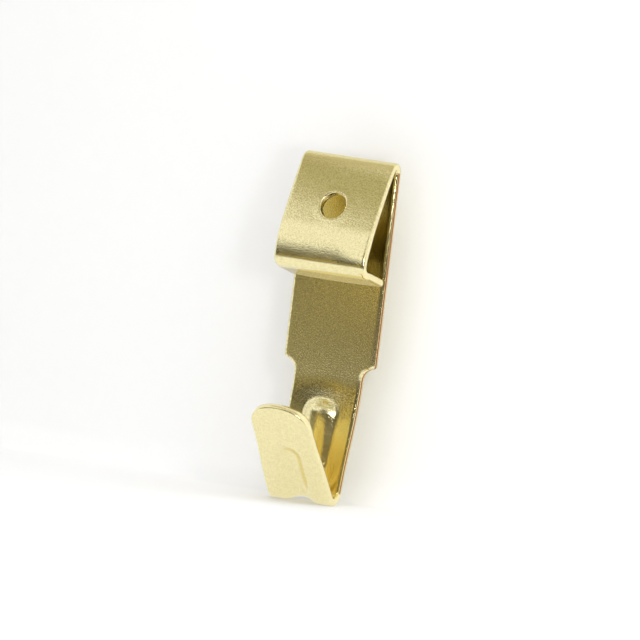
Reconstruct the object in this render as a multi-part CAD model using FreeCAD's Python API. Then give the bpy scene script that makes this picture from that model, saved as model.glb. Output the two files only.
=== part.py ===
import FreeCAD, Part
import math
import os

# Picture hook, stamped and folded from one strip of plated sheet steel, with no separate pieces.
# Millimetres and degrees. The wall is the plane Y = 0, the hook faces -Y, and +Z is up.
# The origin is the point of the wall where the nail goes in.

# Strip
sheet = 0.75
strap_width = 9.75
overall_height = 32.3
edge_round = 0.2

# Nail loop, folded forward from the top of the strap. Bend radii are on the inside of the bend.
top_bend_radius = 0.2
front_lean = 23.5
front_upper_run = 6.0
front_bow_radius = 9.0
front_bow_turn = 16.0
front_lower_run = 0.9
loop_bend_radius = 0.45
return_drop = 13.5
return_clearance = 0.05
return_corner_radius = 0.3

# Nail holes, punched square to the sheet, and the line that the nail takes through them
nail_hole_diameter = 2.5
nail_hole_setback = 4.4
nail_pitch = 38.0
hole_rim_round = 0.15

# Shoulders, where the strap narrows, and the lower strap, which leans away from the wall
shoulder_height = 13.0
shoulder_corner_round = 0.3
neck_width = 7.2
lean_bend_radius = 12.0
lower_lean = 7.5

# Hook bend and tongue
bend_width = 6.7
hook_bend_radius = 0.5
tongue_lean = 39.0
tongue_length = 10.7
tip_width = 6.16
tip_crown_radius = 4.4
tip_corner_radius = 2.4

# Stiffening rib, pressed through the hook bend from the outside
rib_height = 0.65
rib_groove_radius = 1.7
rib_foot_radius = 1.1
rib_strap_reach = 7.2
rib_tongue_reach = 4.5

# Edges sharper than this are rounded, flatter ones are seams. Edges that bend less than this are straight.
smallest_arris_angle = 45.0
smallest_turn = 0.01

# Values that several features share
half_sheet = sheet / 2
across = FreeCAD.Vector(1, 0, 0)
along = FreeCAD.Vector(0, 1, 0)
right_side = FreeCAD.Vector(0, 0, 1)


def direction(angle):
    """Unit vector in the side plane: 0 degrees points away from the wall, 90 degrees points up."""
    turn = math.radians(angle)
    return FreeCAD.Vector(0, -math.cos(turn), math.sin(turn))


def flat(x, y):
    """Point on the middle of the sheet, with x across the strip and y along it."""
    return FreeCAD.Vector(x, y, 0)


def line(start, end):
    """Straight edge between two points."""
    return Part.LineSegment(start, end).toShape()


def arc(start, middle, end):
    """Circular edge through three points."""
    return Part.Arc(start, middle, end).toShape()


def tangent_arc(start, way, end):
    """Edge that leaves its start in a given way and bends evenly to its end."""
    chord = end - start
    if chord.getAngle(way) < math.radians(smallest_turn):
        return line(start, end)
    slant = (way + chord / chord.Length).normalize()
    return arc(start, start + slant * (chord.dot(chord) / (2 * slant.dot(chord))), end)


def eased_edges(start, end):
    """Two arcs that lead up the strip from one width to another, with their outer ends along it."""
    middle = (start + end) / 2
    return [tangent_arc(start, along, middle), tangent_arc(end, along * -1, middle)]


def closed_face(edges):
    """Flat face inside a closed loop of edges."""
    return Part.Face(Part.Wire(Part.sortEdges(edges)[0]))


def mirrored(edges):
    """Copies of edges on the other side of the strip's middle line."""
    return [edge.mirror(FreeCAD.Vector(), across) for edge in edges]


class FoldedStrip:
    """A strip of sheet followed along its middle, stretch by stretch.

    Each stretch is drawn with X across the strip, Y along it and Z to the right of the way it runs, seen
    from the side with the wall on the left.
    """

    def __init__(self, start, heading):
        self.point = start
        self.heading = heading
        self.pieces = []

    def placement(self):
        """Where the strip has got to, as the place and turn of what is drawn there."""
        return FreeCAD.Placement(self.point, FreeCAD.Rotation(across, 180 - self.heading))

    def add(self, piece):
        """Moves a stretch that was drawn at the origin to where the strip has got to."""
        piece.Placement = self.placement() * piece.Placement
        self.pieces.append(piece)

    def plate(self, outline, length):
        """Adds a flat stretch, given its outline."""
        face = closed_face(outline)
        face.translate(right_side * -half_sheet)
        self.add(face.extrude(right_side * sheet))
        self.point = self.point + direction(self.heading) * length

    def run(self, width, length):
        """Adds a flat stretch of one width."""
        self.plate(tapered_outline(width, width, length), length)

    def bend(self, width, inner_radius, turn):
        """Adds a bend of one width: a positive turn goes to the left of the way the strip runs."""
        middle_radius = math.copysign(inner_radius + half_sheet, turn)
        left = direction(self.heading + 90)
        corners = [(-1, -1), (1, -1), (1, 1), (-1, 1), (-1, -1)]
        section = [FreeCAD.Vector(x * width / 2, 0, z * half_sheet) for x, z in corners]
        axis_point = right_side * -middle_radius
        self.add(Part.Face(Part.makePolygon(section)).revolve(axis_point, across * -1, turn))
        self.heading = self.heading + turn
        self.point = self.point + (left - direction(self.heading + 90)) * middle_radius


def crossing(width, y):
    """Straight edge across the strip."""
    return line(flat(-width / 2, y), flat(width / 2, y))


def tapered_outline(start_width, end_width, length):
    """Outline of a stretch that eases from one width to another."""
    half = eased_edges(flat(start_width / 2, 0), flat(end_width / 2, length))
    return half + mirrored(half) + [crossing(start_width, 0), crossing(end_width, length)]


def shoulder_outline(length):
    """Outline of the strap: a hollow quarter round from the neck, a small round corner, the full width."""
    step = (strap_width - neck_width) / 2
    reach = step + shoulder_corner_round
    rise = math.sqrt(reach ** 2 - shoulder_corner_round ** 2)
    hollow_centre = flat(strap_width / 2, 0)
    corner_centre = flat(strap_width / 2 - shoulder_corner_round, rise)
    lean = (corner_centre - hollow_centre).normalize()
    meeting = hollow_centre + lean * step
    hollow_middle = hollow_centre + (lean - across).normalize() * step
    corner_middle = corner_centre + (across - lean).normalize() * shoulder_corner_round
    corner_end = flat(strap_width / 2, rise)
    half = [
        arc(flat(neck_width / 2, 0), hollow_middle, meeting),
        arc(meeting, corner_middle, corner_end),
        line(corner_end, flat(strap_width / 2, length)),
    ]
    return half + mirrored(half) + [crossing(neck_width, 0), crossing(strap_width, length)]


def round_cornered_outline(width, length, radius):
    """Outline of a stretch whose far corners are rounded."""
    side_end = flat(width / 2, length - radius)
    end_start = flat(width / 2 - radius, length)
    slant = flat(1, 1).normalize() * radius
    half = [
        line(flat(width / 2, 0), side_end),
        arc(side_end, flat(width / 2 - radius, length - radius) + slant, end_start),
    ]
    return half + mirrored(half) + [crossing(width, 0), crossing(width - 2 * radius, length)]


def tongue_outline():
    """Outline of the tongue, which eases to the width of its tip and ends in a crowned round."""
    half_tip = tip_width / 2
    crown_centre = flat(0, tongue_length - tip_crown_radius)
    inset = half_tip - tip_corner_radius
    corner_rise = math.sqrt((tip_crown_radius - tip_corner_radius) ** 2 - inset ** 2)
    corner_centre = crown_centre + flat(inset, corner_rise)
    corner_start = corner_centre + across * tip_corner_radius
    slant = (corner_centre - crown_centre).normalize()
    corner_end = crown_centre + slant * tip_crown_radius
    corner_middle = corner_centre + (across + slant).normalize() * tip_corner_radius
    half = eased_edges(flat(bend_width / 2, 0), corner_start)
    half.append(arc(corner_start, corner_middle, corner_end))
    crown = arc(corner_end, flat(0, tongue_length), flat(-corner_end.x, corner_end.y))
    return half + mirrored(half) + [crown, crossing(bend_width, 0)]


def is_arris(body, edge):
    """Whether an edge is a corner between two faces, and not a seam where they run on smoothly."""
    middle = edge.valueAt((edge.FirstParameter + edge.LastParameter) / 2)
    normals = []
    for face in body.ancestorsOfType(edge, Part.Face):
        normals.append(face.normalAt(*face.Surface.parameter(middle)))
    return normals[0].getAngle(normals[1]) > math.radians(smallest_arris_angle)


def rib_point(x, depth):
    """Point of the rib's section, with depth counted from the middle of the sheet into the hook."""
    return FreeCAD.Vector(x, 0, -depth)


def rib_surface(offset):
    """Right half of the rib's section line that lies an offset from the middle of the sheet."""
    crest_centre = rib_point(0, rib_height - crest_radius)
    foot_centre = rib_point(rib_half_width, foot_radius)
    spokes = [rib_point(math.sin(flank * share), math.cos(flank * share)) for share in (0, 0.5, 1)]
    crest = [crest_centre + spoke * (crest_radius + offset) for spoke in spokes]
    foot = [foot_centre - spoke * (foot_radius - offset) for spoke in spokes]
    return [arc(*crest), arc(*foot)]


def rib_section():
    """Whole section of the rib, one sheet thick."""
    half = rib_surface(half_sheet) + rib_surface(-half_sheet)
    half.append(line(rib_point(rib_half_width, half_sheet), rib_point(rib_half_width, -half_sheet)))
    return closed_face(half + mirrored(half))


def rib_half_section():
    """Section of the rib on the right of its middle."""
    edges = rib_surface(half_sheet) + rib_surface(-half_sheet)
    edges.append(line(rib_point(rib_half_width, half_sheet), rib_point(rib_half_width, -half_sheet)))
    edges.append(line(rib_point(0, rib_height + half_sheet), rib_point(0, rib_height - half_sheet)))
    return closed_face(edges)


def rib_leg(reach, way):
    """Straight leg of the rib with its round end, running along the strip (1) or back along it (-1)."""
    end = along * (reach * way)
    half = rib_half_section()
    half.translate(end)
    return [rib_section().extrude(end), half.revolve(end, right_side * way, 180)]


def rib_slot(reach, way):
    """Opening in the sheet that a leg of the rib fills."""
    end = reach * way
    foot = rib_half_width
    outline = [
        crossing(2 * foot, 0),
        line(flat(foot, 0), flat(foot, end)),
        arc(flat(foot, end), flat(0, end + foot * way), flat(-foot, end)),
        line(flat(-foot, end), flat(-foot, 0)),
    ]
    slot = closed_face(outline)
    slot.translate(right_side * -sheet)
    return slot.extrude(right_side * 2 * sheet)


# Strap and nail loop
neck_height = shoulder_height - (strap_width - neck_width) / 2
neck_point = FreeCAD.Vector(0, -half_sheet, neck_height)
strap_length = overall_height - top_bend_radius - sheet - neck_height
loop = FoldedStrip(neck_point, 90)
loop.plate(shoulder_outline(strap_length), strap_length)
loop.bend(strap_width, top_bend_radius, front_lean - 180)
front_place = loop.placement()
loop.run(strap_width, front_upper_run)
loop.bend(strap_width, front_bow_radius, -front_bow_turn)
loop.run(strap_width, front_lower_run)
loop.bend(strap_width, loop_bend_radius, return_drop - 180 - loop.heading)
return_slope = math.radians(return_drop)
return_end = -(sheet + return_clearance + half_sheet * math.sin(return_slope))
return_run = (return_end - loop.point.y) / math.cos(return_slope)
loop.plate(round_cornered_outline(strap_width, return_run, return_corner_radius), return_run)

# Lower strap, hook bend and tongue
hook = FoldedStrip(neck_point, -90)
hook.bend(neck_width, lean_bend_radius, lower_lean)
lean = math.radians(lower_lean)
bend_middle_radius = hook_bend_radius + half_sheet
bend_start_height = hook_bend_radius + sheet - bend_middle_radius * math.sin(lean)
lower_run = (hook.point.z - bend_start_height) / math.cos(lean)
hook.plate(tapered_outline(neck_width, bend_width, lower_run), lower_run)
bend_start = hook.placement()
hook_turn = 180 - lower_lean - tongue_lean
hook.bend(bend_width, hook_bend_radius, hook_turn)
bend_end = hook.placement()
hook.plate(tongue_outline(), tongue_length)

# One strip with rounded edges
body = loop.pieces[0].fuse(loop.pieces[1:] + hook.pieces).removeSplitter()
body = body.makeFillet(edge_round, [edge for edge in body.Edges if is_arris(body, edge)])

# Stiffening rib
crest_radius = rib_groove_radius + half_sheet
foot_radius = rib_foot_radius + half_sheet
flank = math.acos(1 - rib_height / (crest_radius + foot_radius))
rib_half_width = (crest_radius + foot_radius) * math.sin(flank)
bend_axis = rib_point(0, bend_middle_radius)
corners = [(-1, -sheet), (1, -sheet), (1, bend_middle_radius), (-1, bend_middle_radius), (-1, -sheet)]
bend_window = Part.Face(Part.makePolygon([rib_point(x * rib_half_width, depth) for x, depth in corners]))
bend_section = rib_section().common(bend_window).Faces[0]
bend_slot = bend_window.revolve(bend_axis, across * -1, hook_turn)
bend_rib = bend_section.revolve(bend_axis, across * -1, hook_turn)
slots = []
ribs = []
for place, slot_pieces, rib_pieces in (
    (bend_start, [rib_slot(rib_strap_reach, -1), bend_slot], [*rib_leg(rib_strap_reach, -1), bend_rib]),
    (bend_end, [rib_slot(rib_tongue_reach, 1)], rib_leg(rib_tongue_reach, 1)),
):
    for piece in slot_pieces + rib_pieces:
        piece.Placement = place * piece.Placement
    slots += slot_pieces
    ribs += rib_pieces
body = body.cut(slots).fuse(ribs).removeSplitter()

# Nail holes: one in the front sheet, and one in the strap where the nail comes out
hole_radius = nail_hole_diameter / 2
hole_centre = front_place.multVec(flat(0, nail_hole_setback))
hole_axis = front_place.Rotation.multVec(right_side)
exit_drop = (-hole_centre.y - half_sheet) * math.tan(math.radians(nail_pitch))
exit_height = hole_centre.z - exit_drop
exit_centre = FreeCAD.Vector(0, -half_sheet, exit_height)
front_hole = Part.makeCylinder(hole_radius, 2 * sheet, hole_centre - hole_axis * sheet, hole_axis)
exit_hole = Part.makeCylinder(hole_radius, 2 * sheet, exit_centre - along * sheet, along)
body = body.cut([front_hole, exit_hole])
rim_centre = hole_centre - hole_axis * half_sheet
rims = [edge for edge in body.Edges if edge.CenterOfMass.distanceToPoint(rim_centre) < hole_rim_round]
body = body.makeFillet(hole_rim_round, rims)

# The nail's way into the wall is the origin
body.translate(FreeCAD.Vector(0, 0, -exit_height))
os.makedirs("parts", exist_ok=True)
body.exportStep("parts/hook_body.step")
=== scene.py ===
"""Looks of a picture hook: a brass-plated strip, folded and pressed, on a plain pale studio sweep.

Sizes are in millimetres and degrees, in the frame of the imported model: the wall is the plane Y = 0, the
hook faces -Y, +Z is up and the origin is the middle of the nail's exit hole. Meshes are in metres.
"""

import logging
import math
from dataclasses import dataclass, field
from enum import Enum
from typing import Callable, ClassVar, Optional, Sequence

import bmesh
import bpy
import numpy as np
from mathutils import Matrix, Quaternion, Vector

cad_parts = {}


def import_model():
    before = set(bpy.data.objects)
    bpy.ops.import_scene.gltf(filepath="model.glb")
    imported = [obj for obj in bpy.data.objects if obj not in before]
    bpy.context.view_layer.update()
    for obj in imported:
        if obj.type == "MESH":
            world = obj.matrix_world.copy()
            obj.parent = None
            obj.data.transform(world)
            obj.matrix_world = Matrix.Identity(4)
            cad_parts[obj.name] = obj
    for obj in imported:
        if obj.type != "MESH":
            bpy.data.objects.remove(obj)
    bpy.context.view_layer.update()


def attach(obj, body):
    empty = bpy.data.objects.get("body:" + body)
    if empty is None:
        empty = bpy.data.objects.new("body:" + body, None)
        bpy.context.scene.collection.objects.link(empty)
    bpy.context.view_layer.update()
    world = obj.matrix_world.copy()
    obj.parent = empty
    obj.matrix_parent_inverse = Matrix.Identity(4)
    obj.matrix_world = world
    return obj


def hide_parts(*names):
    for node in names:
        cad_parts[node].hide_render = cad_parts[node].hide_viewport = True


LOG = logging.getLogger("picture_hook")
MM = 0.001
NEAR = 0.01 * MM
TINY = 1e-6
IMAGE_WIDTH = 640
UP, DOWN = 90.0, -90.0
CARD_MIDDLE = Vector((0.0, 0.0, -10.0))
LAMP_AIM = Vector((0.0, -2.0, -10.0))
WHITE = (1.0, 1.0, 1.0, 1.0)
# Point attributes: a painted shade line along cut edges' front arris, painted shade in the folds, a painted
# golden reflection inside the hook, and the plating's grain.
ARRIS_SHADE, FOLD_SHADE, GOLD_REFLECTION, PEBBLE = "arris_shade", "fold_shade", "gold_reflection", "pebble"

Colour = tuple[float, float, float]
Span = tuple[float, float]
Piece = bpy.types.Object
Socket = bpy.types.NodeSocket

UNIT: Span = (0.0, 1.0)


class Section(Enum):
    """Stretches of the strip, each flat or bent at one radius."""

    STRAP = "strap"
    TOP_BEND = "top bend"
    FRONT = "front sheet"
    BOW = "bow of the front sheet"
    BRIM = "lower end of the front sheet"
    LOOP_BEND = "loop bend"
    RETURN = "return sheet"
    LEAN_BEND = "lean bend"
    LOWER = "lower strap"
    HOOK_BEND = "hook bend"
    TONGUE = "tongue"


HOOK_SECTIONS = (Section.STRAP, Section.LEAN_BEND, Section.LOWER, Section.HOOK_BEND, Section.TONGUE)
FRONT_SECTIONS = (Section.FRONT, Section.BOW)
# Stretches whose side edges are rolled over, and whose cut edges take a painted shade line along the front
# arris.
ROLLED_EDGE_SECTIONS = (Section.STRAP, Section.LEAN_BEND, Section.LOWER)
ROW_COUNTS = {
    Section.TOP_BEND: 14,
    Section.BOW: 8,
    Section.BRIM: 3,
    Section.LOOP_BEND: 10,
    Section.RETURN: 6,
    Section.LEAN_BEND: 5,
    Section.LOWER: 30,
    Section.HOOK_BEND: 16,
    Section.TONGUE: 22,
}
PEBBLE_SHARES = {Section.STRAP: 1.0, Section.LEAN_BEND: 1.0, Section.FRONT: 0.7, Section.BOW: 0.4}


class Skin(Enum):
    """Which finish a face takes, as the number of its material slot."""

    PLATED = 0
    SHEARED = 1


def direction(angle: float) -> Vector:
    """Unit vector in the side plane: 0 degrees points away from the wall, and 90 points up."""
    turn = math.radians(angle)
    return Vector((0.0, -math.cos(turn), math.sin(turn)))


def bearing(azimuth: float, elevation: float) -> Vector:
    """Unit vector from the hook to an azimuth, to the right of straight in front, and an elevation."""
    a, e = math.radians(azimuth), math.radians(elevation)
    return Vector((math.sin(a) * math.cos(e), -math.cos(a) * math.cos(e), math.sin(e)))


def eased(share: np.ndarray) -> np.ndarray:
    """Smooth step from 0 to 1 of a share that is cut off at both ends."""
    t = np.clip(share, 0.0, 1.0)
    return t * t * (3.0 - 2.0 * t)


def ogee(share: float) -> float:
    """Share of the way across for a share of the way along two arcs that meet at their middle."""
    return 2.0 * share * share if share < 0.5 else 1.0 - 2.0 * (1.0 - share) ** 2


def equal_steps(length: float, count: int) -> list[float]:
    """A length cut into equal steps."""
    return [length / count] * count


def deselect_all() -> None:
    """Deselects every object, and leaves edit mode first if it is on."""
    if bpy.context.object is not None and bpy.context.object.mode != "OBJECT":
        bpy.ops.object.mode_set(mode="OBJECT")
    bpy.ops.object.select_all(action="DESELECT")


def make_active(piece: Piece) -> None:
    """Makes one object the only one selected, and the active one."""
    deselect_all()
    piece.select_set(True)
    bpy.context.view_layer.objects.active = piece


def settle(piece: Piece) -> None:
    """Applies an object's place, turn and scale to its mesh."""
    make_active(piece)
    bpy.ops.object.transform_apply(location=True, rotation=True, scale=True)


def start_edit(piece: Piece, kind: str) -> None:
    """Goes into edit mode on an object, to select its points, edges or faces."""
    make_active(piece)
    bpy.ops.object.mode_set(mode="EDIT")
    bpy.ops.mesh.select_mode(type=kind)


def hang(data: bpy.types.ID, place: Vector, turn: Quaternion) -> Piece:
    """Puts a lamp or a camera in its place."""
    thing = bpy.data.objects.new(data.name, data)
    bpy.context.scene.collection.objects.link(thing)
    thing.location = place
    thing.rotation_mode = "QUATERNION"
    thing.rotation_quaternion = turn
    return thing


def apply_modifier(piece: Piece, name: str, kind: str, **settings: object) -> None:
    """Adds a modifier of a type, with its settings, and applies it at once."""
    make_active(piece)
    modifier = piece.modifiers.new(name, kind)
    for key, value in settings.items():
        setattr(modifier, key, value)
    bpy.ops.object.modifier_apply(modifier=name)


class NodeSheet:
    """A node tree that is filled from left to right."""

    STEP = 180.0

    def __init__(self, tree: bpy.types.NodeTree) -> None:
        """Takes over a tree and empties it."""
        self.tree = tree
        tree.nodes.clear()
        self.count = 0

    def add(self, kind: str, settings: Optional[dict] = None, **inputs: object) -> bpy.types.Node:
        """Adds a node.

        Args:
            kind: The node's type.
            settings: The node's own properties.
            inputs: Values or sockets by input name, with _ for a blank. A socket is linked.

        Returns:
            The node.
        """
        node = self.tree.nodes.new(kind)
        node.location = (self.STEP * self.count, 0.0)
        self.count += 1
        for key, value in (settings or {}).items():
            setattr(node, key, value)
        for key, value in inputs.items():
            self.feed(node.inputs[key.replace("_", " ")], value)
        return node

    def feed(self, socket: Socket, value: object) -> None:
        """Sets an input, or links it if the value is a socket."""
        if isinstance(value, Socket):
            self.tree.links.new(value, socket)
        else:
            socket.default_value = value

    def math(self, operation: str, *values: object, clamp: bool = False) -> Socket:
        """Adds a Math node for an operation on numbers or sockets, and gives its result."""
        node = self.add("ShaderNodeMath", {"operation": operation, "use_clamp": clamp})
        for socket, value in zip(node.inputs, values):
            self.feed(socket, value)
        return node.outputs["Value"]

    def spread(self, value: Socket, given: Span, wanted: Span) -> Socket:
        """Maps a value from one span to another, smoothly and with both ends cut off."""
        node = self.add("ShaderNodeMapRange", {"interpolation_type": "SMOOTHSTEP"}, Value=value)
        for name, number in zip(("From Min", "From Max", "To Min", "To Max"), (*given, *wanted)):
            node.inputs[name].default_value = number
        return node.outputs["Result"]

    def blend(self, share: object, first: object, second: object) -> Socket:
        """Mixes two colours, with a share of the second one."""
        node = self.add("ShaderNodeMix", {"data_type": "RGBA"})
        colours = [socket for socket in node.inputs if socket.type == "RGBA"]
        self.feed(node.inputs["Factor"], share)
        for socket, colour in zip(colours, (first, second)):
            self.feed(socket, (*colour, 1.0) if isinstance(colour, tuple) else colour)
        return next(socket for socket in node.outputs if socket.type == "RGBA")

    def mix(self, share: Socket, first: Socket, second: Socket) -> Socket:
        """Mixes two shaders, with a share of the second one."""
        node = self.add("ShaderNodeMixShader", Fac=share)
        for socket, shader in zip(node.inputs[1:], (first, second)):
            self.feed(socket, shader)
        return node.outputs["Shader"]

    def attribute(self, name: str) -> Socket:
        """Reads a number that the mesh holds for each of its points."""
        return self.add("ShaderNodeAttribute", {"attribute_name": name}).outputs["Fac"]

    def seen_directly(self) -> Socket:
        """1 for what the camera sees, bare or in metal or glass, and 0 for light on other surfaces."""
        path = self.add("ShaderNodeLightPath")
        metal = self.math("ADD", path.outputs["Is Camera Ray"], path.outputs["Is Glossy Ray"])
        return self.math("ADD", metal, path.outputs["Is Transmission Ray"], clamp=True)


def new_material(name: str) -> tuple[bpy.types.Material, NodeSheet]:
    """Makes an empty material, and the node sheet that fills it."""
    material = bpy.data.materials.new(name)
    material.use_nodes = True
    return material, NodeSheet(material.node_tree)


class OrangePeel:
    """The fine pebbled grain of the plating, as a node group that every brass finish shares."""

    NAME = "orange_peel"
    INPUTS = {"Vector": "NodeSocketVector", "Grain": "NodeSocketFloat", "Cloud": "NodeSocketFloat"}
    OUTPUTS = ("Height", "Clouds", "Specks")
    FINE = {"Detail": 3.0, "Roughness": 0.6}
    COARSE = {"Detail": 4.0, "Roughness": 0.55}
    COARSE_HEIGHT = 0.3
    CLOUD_SPAN: Span = (0.36, 0.64)
    SPECK_SPAN: Span = (0.42, 0.66)

    @classmethod
    def group(cls) -> bpy.types.NodeTree:
        """Finds the group, or builds it the first time.

        Returns:
            The group, with a height for bumps, a cloud mask and a speck mask.
        """
        found = bpy.data.node_groups.get(cls.NAME)
        if found is not None:
            return found
        tree = bpy.data.node_groups.new(cls.NAME, "ShaderNodeTree")
        sheet = NodeSheet(tree)
        for name, kind in cls.INPUTS.items():
            tree.interface.new_socket(name, in_out="INPUT", socket_type=kind)
        for name in cls.OUTPUTS:
            tree.interface.new_socket(name, in_out="OUTPUT", socket_type="NodeSocketFloat")
        given = sheet.add("NodeGroupInput").outputs
        noise, place = "ShaderNodeTexNoise", given["Vector"]
        fine = sheet.add(noise, Vector=place, Scale=given["Grain"], **cls.FINE).outputs["Fac"]
        coarse = sheet.add(noise, Vector=place, Scale=given["Cloud"], **cls.COARSE).outputs["Fac"]
        sheet.add(
            "NodeGroupOutput",
            Height=sheet.math("MULTIPLY_ADD", coarse, cls.COARSE_HEIGHT, fine),
            Clouds=sheet.spread(coarse, cls.CLOUD_SPAN, UNIT),
            Specks=sheet.spread(fine, cls.SPECK_SPAN, UNIT),
        )
        return tree


@dataclass(frozen=True)
class WearAndShadeSpot:
    """A spot of another tone: small pale ones where the plating is rubbed, and broad dark ones of painted
    shade.
    """

    STRENGTH: ClassVar[float] = 0.75
    SPECK_SPAN: ClassVar[Span] = (0.2, 0.8)
    SPECK_STRENGTH: ClassVar[Span] = (0.25, 1.0)

    place: tuple[float, float, float]
    radius: float
    tone: Colour = (0.97, 0.93, 0.74)


@dataclass(frozen=True)
class BrassFinish:
    """A brass-plated surface with its grain, its rubbed pale spots and spots of painted shade, a painted
    shade line along a cut edge's front arris, painted shade in the folds, and a painted golden reflection
    inside the hook.
    """

    CLOUD_TINT: ClassVar[float] = 0.12
    SPECK_HAZE: ClassVar[float] = 0.75
    CLOUD_HAZE: ClassVar[float] = 0.25
    PEEL_HEIGHT: ClassVar[float] = 0.02
    ARRIS_SHADE_SPAN: ClassVar[Span] = (0.4, 0.75)

    name: str
    bright: Colour
    dull: Colour
    smooth: float
    rough: float
    grain_size: float
    cloud_size: float
    bump: float
    marks: tuple[WearAndShadeSpot, ...] = ()
    arris_shade: Optional[Colour] = None
    fold_shade_tone: Optional[Colour] = None
    gold_reflection_tone: Optional[Colour] = None

    def material(self) -> bpy.types.Material:
        """Makes the material.

        Returns:
            The material.
        """
        material, sheet = new_material(self.name)
        place = sheet.add("ShaderNodeTexCoord").outputs["Object"]
        grain, cloud = 1.0 / (self.grain_size * MM), 1.0 / (self.cloud_size * MM)
        group = {"node_tree": OrangePeel.group()}
        peel = sheet.add("ShaderNodeGroup", group, Vector=place, Grain=grain, Cloud=cloud).outputs
        clouded = sheet.math("MULTIPLY", peel["Clouds"], self.CLOUD_TINT)
        pebbled = sheet.math("MULTIPLY", peel["Specks"], sheet.attribute(PEBBLE))
        toned = sheet.blend(pebbled, sheet.blend(clouded, self.bright, self.dull), self.dull)
        # Painted shade: a dark red-brown line along the front arris of the cut edges.
        if self.arris_shade is not None:
            shaded_arris = sheet.spread(sheet.attribute(ARRIS_SHADE), self.ARRIS_SHADE_SPAN, UNIT)
            toned = sheet.blend(shaded_arris, toned, self.arris_shade)
        # Painted shade in the folds, then a painted golden reflection inside the hook.
        for name, tone in ((FOLD_SHADE, self.fold_shade_tone), (GOLD_REFLECTION, self.gold_reflection_tone)):
            if tone is not None:
                toned = sheet.blend(sheet.attribute(name), toned, tone)
        # Rubbed pale spots, and spots of painted shade.
        for mark in self.marks:
            toned = sheet.blend(self.spot_mask(sheet, place, mark, peel["Specks"]), toned, mark.tone)
        cloudy = sheet.math("MULTIPLY", peel["Clouds"], self.CLOUD_HAZE)
        haze = sheet.math("MULTIPLY_ADD", peel["Specks"], self.SPECK_HAZE, cloudy)
        roughness = sheet.spread(haze, UNIT, (self.smooth, self.rough))
        height = self.PEEL_HEIGHT * MM
        bump = sheet.add("ShaderNodeBump", Strength=self.bump, Distance=height, Height=peel["Height"])
        shader = sheet.add("ShaderNodeBsdfPrincipled", Base_Color=toned, Metallic=1.0, Roughness=roughness)
        sheet.feed(shader.inputs["Normal"], bump.outputs["Normal"])
        sheet.add("ShaderNodeOutputMaterial", Surface=shader.outputs["BSDF"])
        return material

    @staticmethod
    def spot_mask(sheet: NodeSheet, place: Socket, mark: WearAndShadeSpot, specks: Socket) -> Socket:
        """Mask of a spot of another tone (rubbed plating, and painted shade), broken up by the grain's
        specks.
        """
        middle = tuple(number * MM for number in mark.place)
        away = sheet.add("ShaderNodeVectorMath", {"operation": "DISTANCE"})
        sheet.feed(away.inputs[0], place)
        sheet.feed(away.inputs[1], middle)
        spot = sheet.spread(away.outputs["Value"], (0.0, mark.radius * MM), (mark.STRENGTH, 0.0))
        return sheet.math("MULTIPLY", spot, sheet.spread(specks, mark.SPECK_SPAN, mark.SPECK_STRENGTH))


@dataclass(frozen=True)
class Row:
    """One row of points across the strip.

    Attributes:
        section: The stretch that the row ends.
        along: Distance from that stretch's start.
        reach: Distance along the strip from the start of the hook bend, counted towards the tip.
    """

    section: Section
    along: float
    reach: float


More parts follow.
